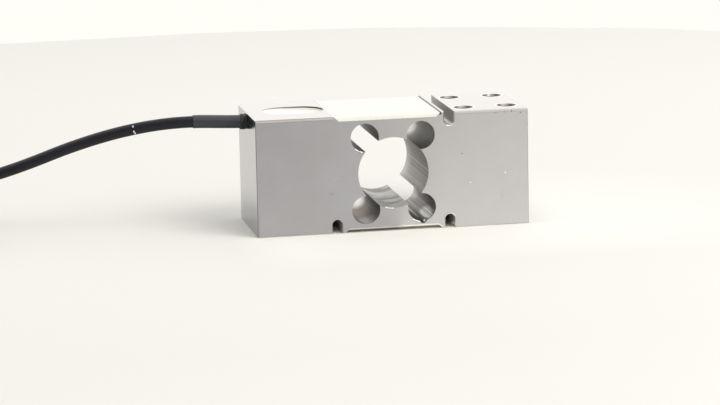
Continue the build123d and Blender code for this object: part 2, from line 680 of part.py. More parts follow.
with BuildPart() as cable_coil:
    with BuildSketch(Plane(origin=(COIL_X, 0, 0), x_dir=(1, 0, 0), z_dir=(0, -1, 0))) as coil_section:
        with Locations(*coil_corner_turns):
            Circle(CABLE_R)
        make_hull()
    revolve(axis=Axis((COIL_X, 0, 0), (0, 0, 1)))
    add(wire(cable_points[-3:], CABLE_D + 2 * COIL_GROOVE_GAP, cable_radii[-1]), mode=Mode.SUBTRACT)
    with BuildSketch(Plane(origin=(COIL_X, tail_y, CABLE_R), z_dir=(-1, 0, 0))) as tail_groove:
        Circle(CABLE_R + COIL_GROOVE_GAP)
    extrude(amount=TAIL_LENGTH, mode=Mode.SUBTRACT)
keep(cable_coil, "cable_coil")

# Bare leads at the free end of the cable
leads = (
    ("lead_red", -1.8, 1.1, -11.0),
    ("lead_black", -1.1, -1.3, -7.2),
    ("lead_shield", 0.0, 1.7, -3.1),
    ("lead_green", 1.1, -1.3, 1.2),
    ("lead_white", 1.8, 1.1, 4.6),
)
tip_starts = []
for name, start_y, start_z, fan_y in leads:
    bend_y = tail_y + LEAD_FAN_SHARE * (start_y + fan_y)
    lead_points = [
        (tail_end_x, tail_y + start_y, CABLE_R + start_z),
        (tail_end_x - LEAD_RUNS[0], tail_y + start_y, CABLE_R + start_z),
        (tail_end_x - LEAD_RUNS[0] - LEAD_RUNS[1], bend_y, LEAD_D / 2 + LEAD_LIFT),
        (tail_end_x - sum(LEAD_RUNS), tail_y + fan_y, LEAD_D / 2),
    ]
    with BuildPart() as lead:
        add(wire(lead_points, LEAD_D, LEAD_BEND_R))
    keep(lead, name)
    tip_start = Vector(*lead_points[-1])
    tip_starts.append((tip_start, tip_start - Vector(*lead_points[-2])))

with BuildPart() as lead_tips:
    for tip_start, tip_way in tip_starts:
        with BuildSketch(Plane(origin=tip_start, z_dir=tip_way)) as tip_section:
            Circle(LEAD_TIP_D / 2)
        extrude(amount=LEAD_TIP)
keep(lead_tips, "lead_tips")

# Silicone covers: they fill the recesses round the gauges, terminals and wires
cover_slope = 1 / math.tan(math.radians(RECESS_RAMP_ANGLE))
top_cover_z = HEIGHT - TOP_COVER_DROP
with BuildPart() as top_gauge_cover:
    with BuildSketch(Plane.XZ) as top_cover_profile:
        with BuildLine():
            Polyline(
                (TOP_RECESS_LEFT + TOP_COVER_DROP * cover_slope, top_cover_z),
                (TOP_RECESS_LEFT + RAMP_RUN - 2 * EDGE_CHAMFER, TOP_FLOOR_Z - EDGE_CHAMFER),
                (RECESS_END - TOP_COVER_END_GAP - RAMP_RUN, TOP_FLOOR_Z - EDGE_CHAMFER),
                (RECESS_END - TOP_COVER_END_GAP - TOP_COVER_DROP * cover_slope, top_cover_z),
                close=True,
            )
        make_face()
    extrude(amount=HALF_WIDTH, both=True)
    top_cover_long_edges = top_gauge_cover.faces().sort_by(Axis.Z)[-1].edges().filter_by(Axis.X)
    fillet(top_cover_long_edges, TOP_COVER_EDGE_R)
    add(spring_body.part, mode=Mode.SUBTRACT)
    for side, piece in gauge_nodes + terminal_nodes + jumper_nodes:
        if side == "top":
            add(piece, mode=Mode.SUBTRACT)
    add(top_bridge_wires.part, mode=Mode.SUBTRACT)
keep(top_gauge_cover, "top_gauge_cover")

with BuildPart() as bottom_gauge_cover:
    with BuildSketch(Plane.XZ) as bottom_cover_profile:
        with BuildLine():
            Polyline(
                (BOTTOM_COVER_DROP * cover_slope - RECESS_END, BOTTOM_COVER_DROP),
                (RAMP_RUN - RECESS_END, BOTTOM_FLOOR_Z),
                (RECESS_END - RAMP_RUN, BOTTOM_FLOOR_Z),
                (RECESS_END - BOTTOM_COVER_DROP * cover_slope, BOTTOM_COVER_DROP),
                close=True,
            )
        make_face()
    extrude(amount=HALF_WIDTH - BOTTOM_COVER_SETBACK, both=True)
    for side, piece in gauge_nodes + terminal_nodes + jumper_nodes:
        if side == "bottom":
            add(piece, mode=Mode.SUBTRACT)
    add(bottom_bridge_wires.part, mode=Mode.SUBTRACT)
keep(bottom_gauge_cover, "bottom_gauge_cover")

# Potting: fills the wiring pocket, its surface sinking towards the gauges
potting_tilt = Vector(POCKET_LENGTH, 0, POTTING_DROP_LEFT - POTTING_DROP_RIGHT)
with BuildPart() as pocket_potting:
    with BuildSketch(Plane.XY.offset(POCKET_FLOOR_Z)) as potting_outline:
        with Locations((POCKET_X, 0)):
            SlotOverall(POCKET_LENGTH, POCKET_WIDTH)
    extrude(amount=POCKET_DEPTH)
    split(
        bisect_by=Plane(
            origin=(POCKET_LEFT, 0, HEIGHT - POTTING_DROP_LEFT),
            x_dir=potting_tilt,
            z_dir=potting_tilt.cross(Vector(0, 1, 0)),
        ),
        keep=Keep.BOTTOM,
    )
    potted = [board_insulating_pad.part, compensation_board.part, cable.part, cable_clamp.part]
    potted += resistor_nodes + core_nodes + [top_bridge_wires.part, bottom_bridge_wires.part]
    for piece in potted:
        add(piece, mode=Mode.SUBTRACT)
keep(pocket_potting, "pocket_potting")
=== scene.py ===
"""Looks for a single point load cell: a machined aluminium beam with a clover
shaped window, white silicone over its gauge recesses, a potted wiring pocket
and a black cable that droops away to a coil. Metres, in the frame of the CAD.
"""

from __future__ import annotations

import json
import logging
import math
from dataclasses import dataclass
from enum import Enum
from typing import Mapping, Optional, Sequence, Union

import bmesh
import bpy
from mathutils import Matrix, Vector, noise


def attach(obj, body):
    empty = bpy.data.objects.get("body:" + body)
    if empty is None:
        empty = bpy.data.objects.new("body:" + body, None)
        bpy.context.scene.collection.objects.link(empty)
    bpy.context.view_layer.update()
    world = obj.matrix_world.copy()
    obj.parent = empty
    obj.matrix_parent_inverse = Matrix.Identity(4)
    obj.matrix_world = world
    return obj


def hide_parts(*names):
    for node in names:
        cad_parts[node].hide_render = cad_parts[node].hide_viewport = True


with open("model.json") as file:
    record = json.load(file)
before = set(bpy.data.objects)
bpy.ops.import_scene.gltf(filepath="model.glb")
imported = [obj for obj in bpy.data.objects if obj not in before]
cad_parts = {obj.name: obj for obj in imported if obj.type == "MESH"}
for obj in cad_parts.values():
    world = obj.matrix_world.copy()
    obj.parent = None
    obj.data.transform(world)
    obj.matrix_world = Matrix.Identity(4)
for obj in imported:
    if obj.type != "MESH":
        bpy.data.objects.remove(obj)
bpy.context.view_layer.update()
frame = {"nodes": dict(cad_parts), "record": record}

LOG = logging.getLogger("load_cell")
MM = 0.001
# Points closer than this become one; edges sharper than this stay sharp
WELD = 0.002 * MM
SHARP_ANGLE = math.radians(40)
# Sizes of a direction's part at which a face begins and ends to count
LEVEL = (0.97, 0.99)
SLOPED = (0.55, 0.65)
Point = tuple[float, float, float]
Colour = tuple[float, float, float, float]
Span = tuple[float, float]
Value = Union[float, int, Point, "Sock"]


class Slot(Enum):
    """The material slots, with the names that the record gives them."""

    ALUMINIUM = "machined_aluminium"
    COVER = "white_silicone"
    POTTING = "white_potting"
    JACKET = "cable_jacket"
    SLEEVE = "shrink_sleeve"
    SEAL = "seal_compound"
    FOIL = "gauge_foil"
    COPPER = "terminal_copper"
    BRIDGE = "bridge_wire"
    JUMPER = "jumper_wire"
    FOAM = "grey_foam"
    BOARD = "green_board"
    RESISTOR = "resistor_body"
    RED = "red_insulation"
    BLACK = "black_insulation"
    GREEN = "green_insulation"
    WHITE = "white_insulation"
    SHIELD = "shield_sleeving"
    TINNED = "tinned_copper"
    CLAMP = "clamp_steel"


def colour(red: float, green: float, blue: float) -> Colour:
    """Return an opaque colour for a socket.

    Args:
        red: red in sRGB, 0 to 255.
        green: green in sRGB, 0 to 255.
        blue: blue in sRGB, 0 to 255.

    Returns:
        Linear red, green and blue, and 1 for alpha.
    """
    linear = [
        c / 12.92 if c <= 0.04045 else ((c + 0.055) / 1.055) ** 2.4
        for c in (red / 255, green / 255, blue / 255)
    ]
    return (linear[0], linear[1], linear[2], 1.0)


class Sock:
    """An output socket that can be used in Python expressions on values and vectors."""

    def __init__(self, graph: "Graph", socket: bpy.types.NodeSocket) -> None:
        """Keep the socket and the graph that it belongs to."""
        self.graph = graph
        self.socket = socket

    def __add__(self, other: Value) -> "Sock":
        """Return the sum."""
        return self.graph.math("ADD", self, other)

    __radd__ = __add__

    def __sub__(self, other: Value) -> "Sock":
        """Return the difference."""
        return self.graph.math("SUBTRACT", self, other)

    def __rsub__(self, other: Value) -> "Sock":
        """Return the difference the other way round."""
        return self.graph.math("SUBTRACT", other, self)

    def __mul__(self, other: Value) -> "Sock":
        """Return the product."""
        return self.graph.math("MULTIPLY", self, other)

    __rmul__ = __mul__

    def __truediv__(self, other: Value) -> "Sock":
        """Return the quotient."""
        return self.graph.math("DIVIDE", self, other)

    def __rtruediv__(self, other: Value) -> "Sock":
        """Return the quotient the other way round."""
        return self.graph.math("DIVIDE", other, self)

    def __pow__(self, other: Value) -> "Sock":
        """Return the power."""
        return self.graph.math("POWER", self, other)

    def size(self) -> "Sock":
        """Return the value without its sign."""
        return self.graph.math("ABSOLUTE", self, 0.0)


class Graph:
    """The node tree of one material, with a Principled shader at its end."""

    def __init__(self, name: str) -> None:
        """Make the material with its shader and output.

        Args:
            name: the material's name.
        """
        self.material = bpy.data.materials.new(name)
        self.material.use_nodes = True
        self.tree = self.material.node_tree
        self.tree.nodes.clear()
        output = self.tree.nodes.new("ShaderNodeOutputMaterial")
        self.shader = self.tree.nodes.new("ShaderNodeBsdfPrincipled")
        self.tree.links.new(self.shader.outputs[0], output.inputs["Surface"])

    @classmethod
    def of_tree(cls, tree: bpy.types.NodeTree) -> "Graph":
        """Return a graph on an emptied node tree, with no shader of its own.

        Args:
            tree: the tree to empty and use.

        Returns:
            The graph.
        """
        graph = cls.__new__(cls)
        graph.tree = tree
        tree.nodes.clear()
        return graph

    def put(self, target: bpy.types.NodeSocket, value: object) -> None:
        """Link a socket to the target, or write a plain value on it.

        Args:
            target: the input to set.
            value: a wrapped socket or a plain value.
        """
        if isinstance(value, Sock):
            self.tree.links.new(value.socket, target)
        else:
            target.default_value = value

    def node(
        self,
        kind: str,
        settings: Optional[Mapping[str, object]] = None,
        inputs: Optional[Mapping[Union[str, int], object]] = None,
        output: Union[str, int] = 0,
    ) -> Sock:
        """Add a node of any type.

        Args:
            kind: the node's type without its ShaderNode prefix.
            settings: properties set first; stops are a colour ramp's stops.
            inputs: value or link of each socket, by name or index.
            output: the output to return, by name or index.

        Returns:
            The chosen output.
        """
        made = self.tree.nodes.new("ShaderNode" + kind)
        for key, value in (settings or {}).items():
            if key == "stops":
                ramp = made.color_ramp
                while len(ramp.elements) < len(value):
                    ramp.elements.new(1.0)
                for stop, (place, shade) in zip(ramp.elements, value):
                    stop.position = place
                    stop.color = shade
            else:
                setattr(made, key, value)
        for key, value in (inputs or {}).items():
            self.put(made.inputs[key], value)
        return Sock(self, made.outputs[output])

    def math(self, operation: str, left: Value, right: Value) -> Sock:
        """Add a Math node, or a Vector Math node where a side is a vector.

        Args:
            operation: the node's operation.
            left: the first value.
            right: the second value.

        Returns:
            The result.
        """
        vector = any(
            isinstance(side, tuple) or (isinstance(side, Sock) and side.socket.type == "VECTOR")
            for side in (left, right)
        )
        kind = "VectorMath" if vector else "Math"
        return self.node(kind, {"operation": operation}, {0: left, 1: right})

    def place(self) -> Sock:
        """Return the point on the surface, in metres in the part's frame."""
        return self.node("TexCoord", output="Object")

    def stretched(self, scale: Point) -> Sock:
        """Return the point on the surface with each axis scaled."""
        return self.node("Mapping", None, {"Vector": self.place(), "Scale": scale})

    def split(self, vector: Sock) -> tuple[Sock, Sock, Sock]:
        """Take a vector apart.

        Args:
            vector: the vector.

        Returns:
            Its X, Y and Z.
        """
        parts = self.tree.nodes.new("ShaderNodeSeparateXYZ")
        self.put(parts.inputs[0], vector)
        return tuple(Sock(self, output) for output in parts.outputs)

    def axes(self) -> tuple[Sock, Sock, Sock]:
        """Return X, Y and Z of the point on the surface."""
        return self.split(self.place())

    def facing(self) -> tuple[Sock, Sock, Sock]:
        """Return X, Y and Z of the surface's direction."""
        return self.split(self.node("NewGeometry", output="Normal"))

    def noise(self, scale: float, detail: float = 3.0, where: Optional[Sock] = None) -> Sock:
        """Return noise of 0 to 1 with features of about 1/scale metres."""
        return self.node(
            "TexNoise",
            None,
            {"Vector": where or self.place(), "Scale": scale, "Detail": detail},
        )

    def ramp(self, value: Value, low: float, high: float) -> Sock:
        """Return 0 below low and 1 above high, with an even run between."""
        return self.node(
            "MapRange", {"clamp": True}, {0: value, 1: low, 2: high, 3: 0.0, 4: 1.0}
        )

    def rise(self, value: Value, low: float, high: float) -> Sock:
        """Return 0 below low and 1 above high, both given in millimetres."""
        return self.ramp(value, low * MM, high * MM)

    def blend(self, share: Value, first: object, second: object) -> Sock:
        """Return a colour between the first and the second."""
        return self.node(
            "Mix",
            {"data_type": "RGBA"},
            {0: share, 6: first, 7: second},
            output=2,
        )

    def near(self, centre: Point, reach: Point, core: float = 0.6) -> Sock:
        """Return 1 round a point, falling to 0 at the edge of an ellipsoid.

        Args:
            centre: the ellipsoid's middle in millimetres.
            reach: its half axes in millimetres.
            core: the share of the reach that's fully 1.

        Returns:
            The value from 0 to 1.
        """
        offset = self.place() - tuple(c * MM for c in centre)
        scaled = offset / tuple(r * MM for r in reach)
        far = self.node("VectorMath", {"operation": "LENGTH"}, {0: scaled}, output="Value")
        return 1 - self.ramp(far, core, 1.0)

    def band(self, value: Sock, low: float, high: float, soft: float = 0.2) -> Sock:
        """Return 1 where a value in metres lies between two edges.

        Args:
            value: the value to test, in metres.
            low: the lower edge in millimetres.
            high: the upper edge in millimetres.
            soft: the width of the change at each edge in millimetres.

        Returns:
            1 inside and 0 outside.
        """
        fall = self.rise(value, high, high + soft)
        return self.rise(value, low - soft, low) * (1 - fall)

    def bump(self, height: Sock, strength: float, distance: float) -> Sock:
        """Return a normal bent by a height."""
        return self.node(
            "Bump", None, {"Height": height, "Strength": strength, "Distance": distance}
        )

    def shade(self, **inputs: object) -> bpy.types.Material:
        """Set the shader's sockets.

        Args:
            inputs: each socket's value, its name with underscores for spaces.

        Returns:
            The finished material.
        """
        for key, value in inputs.items():
            self.put(self.shader.inputs[key.replace("_", " ")], value)
        return self.material


@dataclass(frozen=True)
class Mark:
    """A small mark on a surface: its middle and half axes in millimetres."""

    centre: Point
    reach: Point


@dataclass(frozen=True)
class Patch:
    """A lighter or darker place on the metal, in millimetres."""

    centre: Point
    reach: Point
    tint: Colour
    share: float
    core: float = 0.6


@dataclass(frozen=True)
class MachinedAluminium:
    """Bare aluminium alloy: milled faces, rough bored walls, tapped holes.

    Places and sizes are in millimetres, in the part's frame.
    """

    slot: Slot = Slot.ALUMINIUM
    light: Colour = colour(177, 177, 182)
    dark: Colour = colour(166, 165, 169)
    # edge: a painted highlight colour, used on the top front chamfer, the glints, the shine in the
    # bores and the rings round some holes
    edge: Colour = colour(232, 230, 227)
    # The other chamfers: painted shade at the left, painted light at the right
    edge_shade_left: Colour = colour(147, 143, 141)
    edge_light_right: Colour = colour(197, 195, 192)
    # Painted shade over the outer part of the file-mark bevels, leaving a thin painted glint
    bevel_shade: Colour = colour(122, 120, 117)
    # A painted highlight band along the top of the front face
    top_sheen: Colour = colour(203, 200, 198)
    # Painted shade on the bit of the right ramp that shows above the top cover
    gap_shade: Colour = colour(60, 58, 56)
    # Painted reflection: a warm tint of the backdrop on the faces that look up
    top_reflection_tint: Point = (1.05, 1.0, 0.92)
    # Walls of the corner and the middle bores, far darker than the faces: painted shade, streaked
    # along the boring marks
    corner_light: Colour = colour(150, 147, 143)
    corner_dark: Colour = colour(66, 64, 62)
    middle_light: Colour = colour(168, 165, 161)
    middle_dark: Colour = colour(98, 95, 92)
    bottom_light: Colour = colour(170, 168, 164)
    bottom_dark: Colour = colour(120, 118, 115)
    # A painted highlight line along the middle bore's right wall, at the height of its axis
    axis_highlight: Colour = colour(212, 209, 205)
    # The wiring pocket's wall above the potting: painted shade, darker towards the right
    pocket_shade_left: Colour = colour(150, 148, 142)
    pocket_shade_right: Colour = colour(70, 68, 66)
    # Painted light deep in the bores, near their back openings
    bore_back_light: Colour = colour(178, 175, 170)
    relief: Colour = colour(158, 151, 146)
    # A lighter colour in the lower slots: painted light where they lie in shade
    lower_relief_lit: Colour = colour(190, 184, 184)
    # Tapped holes: painted light in their middle, painted shade at their sides
    hole_lit_middle: Colour = colour(170, 166, 160)
    hole_shaded_sides: Colour = colour(84, 80, 77)
    roughness: float = 0.33
    end_roughness: float = 0.16
    wall_roughness: float = 0.55
    window_z: float = 32.0
    window_x: Span = (-1.0, 24.2)
    window_height: Span = (-1.0, 28.7)
    middle_bore_r: float = 19.6
    file_marks_z: Span = (2.9, 58.0)
    relief_x: Span = (27.9, 34.9)
    recess_x: Span = (-32.5, 33.9)
    ramp_x: Span = (25.5, 26.9)
    pocket_x: Span = (-66.6, -32.5)
    pocket_half: float = 12.1
    holes_x: float = 53.7
    hole_half_x: float = 12.0
    hole_half_y: float = 18.0
    hole_r: float = 5.45
    end_x: float = 74.4
    # Patches on the bores' walls: painted light deep in the lower left bore, a brownish patch,
    # painted light low at its front, painted light deep in the upper right bore, a painted
    # highlight line in the lower right bore, and painted shade round a painted glint at its front
    patches: Sequence[Patch] = (
        Patch((-9.6, 22.0, 7.2), (7.5, 14.0, 7.5), colour(224, 220, 218), 0.85, 0.3),
        Patch((-12.6, 3.0, 5.0), (7.5, 16.0, 5.5), colour(152, 132, 110), 0.6, 0.2),
        Patch((-13.5, -22.0, 4.5), (7.0, 14.0, 4.5), colour(192, 188, 182), 0.85, 0.2),
        Patch((19.6, 24.0, 46.4), (5.6, 11.5, 5.6), colour(212, 209, 204), 0.75, 0.2),
        Patch((15.6, 0.5, 4.4), (0.8, 25.0, 0.7), colour(226, 223, 219), 0.8),
        Patch((17.0, -26.5, 4.6), (2.4, 5.0, 2.0), colour(70, 66, 63), 0.7),
        Patch((17.05, -26.8, 4.6), (1.2, 2.6, 1.1), colour(245, 243, 240), 1.0),
    )
    # The first is painted shade: the left end face darker towards its bottom, where it mirrors the
    # shadow on the floor; the rest are small rubs and marks
    rubs_and_shade: Sequence[Patch] = (
        Patch((-75.0, -12.0, 2.0), (2.0, 60.0, 24.0), colour(90, 89, 92), 0.22, 0.2),
        Patch((-75.0, 7.3, 25.2), (0.5, 1.2, 2.0), colour(90, 89, 92), 0.2, 0.2),
        Patch((-75.0, 5.5, 21.3), (0.5, 1.0, 1.6), colour(90, 89, 92), 0.25, 0.2),
        Patch((-75.0, 2.9, 17.6), (0.5, 2.4, 1.2), colour(90, 89, 92), 0.3, 0.2),
        Patch((-34.0, -30.0, 22.0), (1.2, 0.5, 1.0), colour(96, 94, 92), 0.25, 0.2),
        Patch((-31.0, -30.0, 30.5), (3.5, 0.5, 0.5), colour(235, 233, 230), 0.09, 0.3),
        Patch((60.0, -30.0, 16.0), (1.2, 0.5, 5.0), colour(124, 112, 104), 0.12, 0.2),
    )
    # Painted glints: small bright spots on the front face, in a hole and in a bore
    painted_glints: Sequence[Mark] = (
        Mark((65.2, 23.2, 63.0), (1.3, 0.9, 0.9)),
        Mark((62.0, -30.0, 28.9), (0.5, 0.4, 0.35)),
        Mark((42.5, -30.0, 24.3), (0.45, 0.4, 0.3)),
        Mark((16.4, -29.0, 4.9), (0.9, 1.2, 0.7)),
    )
    dark_marks: Sequence[Mark] = (
        Mark((38.1, -30.0, 40.5), (0.45, 0.4, 0.4)),
        Mark((65.9, -30.0, 62.6), (0.35, 0.5, 0.6)),
        Mark((70.8, -30.0, 61.5), (0.45, 0.4, 0.6)),
        Mark((61.9, -30.0, 62.2), (0.6, 0.4, 0.3)),
        Mark((57.0, -30.0, 61.9), (1.1, 0.4, 0.2)),
        Mark((-16.5, -30.0, 44.2), (0.45, 0.5, 0.45)),
    )

    def bored_walls(self, graph: Graph, streak: Sock) -> Sock:
        """Return the colour of the window's walls, streaked along the bores, with painted shade,
        light and highlights.

        Args:
            graph: the material's graph.
            streak: noise drawn out along the bores.

        Returns:
            The colour.
        """
        x, y, z = graph.axes()
        _, _, normal_z = graph.facing()
        above = z - self.window_z * MM
        from_axis = (x * x + above * above) ** 0.5
        corner = graph.rise(from_axis, self.middle_bore_r, self.middle_bore_r + 0.2)
        low = (1 - graph.rise(above, -14, 2)) * graph.rise(x, -6, 2)
        tone = 0.5 + (graph.ramp(streak, 0.3, 0.7) - 0.5) * (0.25 + low * 0.75)
        upward = graph.ramp(normal_z, 0.5, 0.85)
        bands = graph.ramp(graph.noise(1.0, 2.0, graph.stretched((60.0, 120.0, 60.0))), 0.42, 0.58)
        # Painted shade on the middle bore's walls, streaked
        middle = graph.blend(tone, self.middle_dark, self.middle_light)
        bottom = graph.blend(bands, self.bottom_dark, self.bottom_light)
        middle = graph.blend(upward, middle, bottom)
        # A painted highlight line along the middle bore's right wall, at the height of its axis
        axis_highlight = graph.band(above, -0.2, 0.15, 0.15) * graph.rise(x, 0.0, 1)
        middle = graph.blend(axis_highlight * 0.6, middle, self.axis_highlight)
        # Painted shade on the corner bores' walls, streaked
        walls = graph.blend(tone, self.corner_dark, self.corner_light)
        shine = graph.near((20.5, -16.0, 6.5), (4.0, 15.0, 4.0)) * graph.ramp(streak, 0.4, 0.6)
        walls = graph.blend(shine, walls, self.edge)
        walls = graph.blend(corner, middle, walls)
        cloud = graph.noise(260.0, 2.0)
        # Painted light deep in the bores, near their back openings
        deep = graph.rise(y + (cloud - 0.5) * 12 * MM, 14, 26)
        walls = graph.blend(deep * 0.8 * (1 - upward), walls, self.bore_back_light)
        # The patches: painted light, shade and highlights on the walls, and one brownish patch
        for patch in self.patches:
            share = graph.near(patch.centre, patch.reach, patch.core) * patch.share
            walls = graph.blend(share * (0.75 + cloud * 0.5), walls, patch.tint)
        return walls

    def edges(self, graph: Graph, base: Sock, tone: Sock) -> Sock:
        """Return a colour with the beam's worn edges and top face worked in.

        Args:
            graph: the material's graph.
            base: the colour so far.
            tone: slow changes of 0 to 1 over the surface.

        Returns:
            The colour.
        """
        x, y, z = graph.axes()
        normal_x, normal_y, normal_z = graph.facing()
        # Painted reflection: the faces that look up get a warm tint of the backdrop
        upward = graph.ramp(normal_z, 0.9, 0.97)
        base = graph.blend(upward, base, base * self.top_reflection_tint)
        sloped = graph.ramp(normal_y.size(), *SLOPED)
        sideways = graph.ramp(normal_x.size(), *SLOPED)
        # Chamfers: a painted highlight on the top front one; on the others painted shade at the
        # left and painted light at the right
        edge = sloped * (1 - graph.ramp(normal_y.size(), 0.76, 0.84)) * (1 - sideways)
        top_front = graph.rise(z, 60, 61) * (1 - graph.rise(y, -1, 1))
        right = graph.rise(x, -34, -31)
        front_edge = graph.blend(right, self.edge_shade_left, self.edge_light_right)
        base = graph.blend(edge, base, graph.blend(top_front, self.edge, front_edge))
        # Painted shade over the outer part of the file-mark bevels in the window; the inner part
        # keeps the painted highlight, a thin glint
        inner = graph.rise(y, -29.78, -29.68) * graph.rise(x, -21.6, -20.8)
        bevel_shade = edge * graph.band(x.size(), *self.window_x) * graph.band(z, *self.file_marks_z)
        base = graph.blend(bevel_shade * (1 - inner), base, self.bevel_shade)
        # Painted shade: a dark line on the upright chamfers at both ends
        upright = sideways * sloped * graph.rise(x.size(), 74, 74.3)
        base = graph.blend(upright * 0.4, base, self.corner_dark)
        front = (1 - graph.rise(y, -29.97, -29.95)) * (1 - graph.band(x, *self.recess_x))
        # A painted highlight band along the top of the front face, fainter at the right
        top_sheen = graph.band(z, 62.75, 63.6, 0.15) * front
        base = graph.blend(top_sheen * (1 - right * 0.65), base, self.top_sheen)
        line = graph.band(z, 62.25, 62.45, 0.15) * front * graph.ramp(tone, 0.2, 0.5)
        base = graph.blend(line * 0.18, base, self.corner_dark)
        # Painted shade on the bit of the right ramp that shows above the top cover
        ramp = graph.band(x, *self.ramp_x, 0.1) * graph.rise(z, 62.3, 62.6)
        return graph.blend(ramp, base, self.gap_shade)

    def pocket_wall(self, graph: Graph, base: Sock, not_level: Sock) -> Sock:
        """Return a colour with painted shade on the wall of the wiring pocket worked in.

        Args:
            graph: the material's graph.
            base: the colour so far.
            not_level: 0 on level faces and 1 elsewhere.

        Returns:
            The colour.
        """
        x, y, z = graph.axes()
        beside = graph.rise(y.size(), self.pocket_half, self.pocket_half + 0.3)
        pocket = graph.band(x, *self.pocket_x) * (1 - beside) * not_level * graph.rise(z, 49, 49.5)
        # Painted shade on the pocket's wall, darker towards the right
        along = graph.rise(x, -62, -46)
        return graph.blend(pocket, base, graph.blend(along, self.pocket_shade_left, self.pocket_shade_right))

    def tapped_holes(self, graph: Graph, base: Sock, not_level: Sock) -> Sock:
        """Return a colour with painted light and shade in the tapped holes and a painted highlight
        round some of their mouths worked in.

        Args:
            graph: the material's graph.
            base: the colour so far.
            not_level: 0 on level faces and 1 elsewhere.

        Returns:
            The colour.
        """
        x, y, _ = graph.axes()
        _, _, normal_z = graph.facing()
        hole_x = (x.size() - self.holes_x * MM).size() - self.hole_half_x * MM
        hole_y = y.size() - self.hole_half_y * MM
        from_hole = (hole_x * hole_x + hole_y * hole_y) ** 0.5
        hole = (1 - graph.rise(from_hole, self.hole_r, self.hole_r + 0.05)) * not_level
        # A painted highlight ring round the mouths, on the top face's right-hand holes and the
        # underside's left-hand ones
        ring = graph.band(from_hole, self.hole_r + 0.05, self.hole_r + 0.65, 0.15)
        ring = ring * graph.rise(x * normal_z, 0.0, 1) * (1 - not_level)
        base = graph.blend(ring * 0.8, base, self.edge)
        # Painted light in the middle of each hole, painted shade at its sides
        middle = 1 - graph.rise(hole_x.size(), 0.8, 3.0)
        return graph.blend(hole, base, graph.blend(middle, self.hole_shaded_sides, self.hole_lit_middle))

    def wear_and_painted_light(self, graph: Graph, base: Sock) -> Sock:
        """Return a colour with the rubs, a painted shade on the left end face, painted glints and
        small dark dings worked in.

        Args:
            graph: the material's graph.
            base: the colour so far.

        Returns:
            The colour.
        """
        # The first rub is painted shade low on the left end face
        for spot in self.rubs_and_shade:
            share = graph.near(spot.centre, spot.reach, spot.core) * spot.share
            base = graph.blend(share, base, spot.tint)
        # Painted glints
        for mark in self.painted_glints:
            base = graph.blend(graph.near(mark.centre, mark.reach), base, self.edge)
        for mark in self.dark_marks:
            base = graph.blend(graph.near(mark.centre, mark.reach) * 0.7, base, self.corner_dark)
        return base

    def material(self) -> bpy.types.Material:
        """Make the material.

        Returns:
            The material, each region of the beam with its own look.
        """
        graph = Graph(self.slot.value)
        x, _, z = graph.axes()
        normal_x, normal_y, normal_z = graph.facing()
        cloud = graph.noise(55.0, 4.0)
        grain = graph.noise(1800.0, 2.0)
        tone = graph.ramp(cloud * 0.6 + grain * 0.4, 0.32, 0.68)
        streak = graph.noise(1.0, 3.0, graph.stretched((1400.0, 6.0, 1400.0)))
        across = 1 - graph.ramp(normal_y.size(), 0.45, 0.6)
        not_level = 1 - graph.ramp(normal_z.size(), *LEVEL)
        above = (z - self.window_z * MM).size()
        window = graph.band(x.size(), *self.window_x) * graph.band(above, *self.window_height)
        wall = window * across
        relief = graph.band(x.size(), *self.relief_x) * across * not_level
        # Painted light: the lower slots get a lighter colour
        lower_relief_lit = relief * (1 - graph.rise(z, 20, 24))
        end = graph.ramp(normal_x.size(), 0.9, 0.97)
        end = end * graph.rise(x.size(), self.end_x, self.end_x + 0.1)
        base = self.edges(graph, graph.blend(tone, self.dark, self.light), tone)
        base = graph.blend(wall, base, self.bored_walls(graph, streak))
        base = graph.blend(relief, base, self.relief)
        base = graph.blend(lower_relief_lit, base, self.lower_relief_lit)
        base = self.pocket_wall(graph, base, not_level)
        base = self.tapped_holes(graph, base, not_level)
        base = self.wear_and_painted_light(graph, base)
        rough = self.roughness + (tone - 0.5) * 0.08
        rough = rough + wall * (self.wall_roughness - self.roughness)
        rough = rough + end * (self.end_roughness - self.roughness)
        return graph.shade(
            Base_Color=base,
            Metallic=1 - relief * 0.6 - lower_relief_lit * 0.4,
            Roughness=rough,
            Normal=graph.bump(grain * (1 - wall) + streak * wall, 0.15, 0.00004),
        )


@dataclass(frozen=True)
class Silicone:
    """White silicone or potting, poured and cured, with painted shade low on its long rims."""

    slot: Slot
    light: Colour
    dark: Colour
    roughness: float
    ripple: float = 0.15 * MM
    # Painted shade low on the long rims, where the bottom cover nearly meets the floor
    rim_shade: Colour = colour(92, 89, 86)
    rim_shade_y: Span = (26.6, 28.2)
    rim_shade_z: Span = (1.5, 1.7)

    def material(self) -> bpy.types.Material:
        """Make the material.

        Returns:
            The material, with a soft tone change and shallow ripples.
        """
        graph = Graph(self.slot.value)
        _, y, z = graph.axes()
        # Painted shade low on the long rims, near the floor
        shaded_rim = graph.rise(y.size(), *self.rim_shade_y) * (1 - graph.rise(z, *self.rim_shade_z))
        cloud = graph.noise(90.0, 3.0)
        skin = graph.noise(420.0, 4.0)
        base = graph.blend(graph.ramp(cloud, 0.3, 0.7), self.dark, self.light)
        return graph.shade(
            Base_Color=graph.blend(shaded_rim * 0.9, base, self.rim_shade),
            Roughness=self.roughness + (skin - 0.5) * 0.12,
            Subsurface_Weight=0.08,
            Subsurface_Scale=0.002,
            Normal=graph.bump(skin, 0.25, self.ripple),
        )


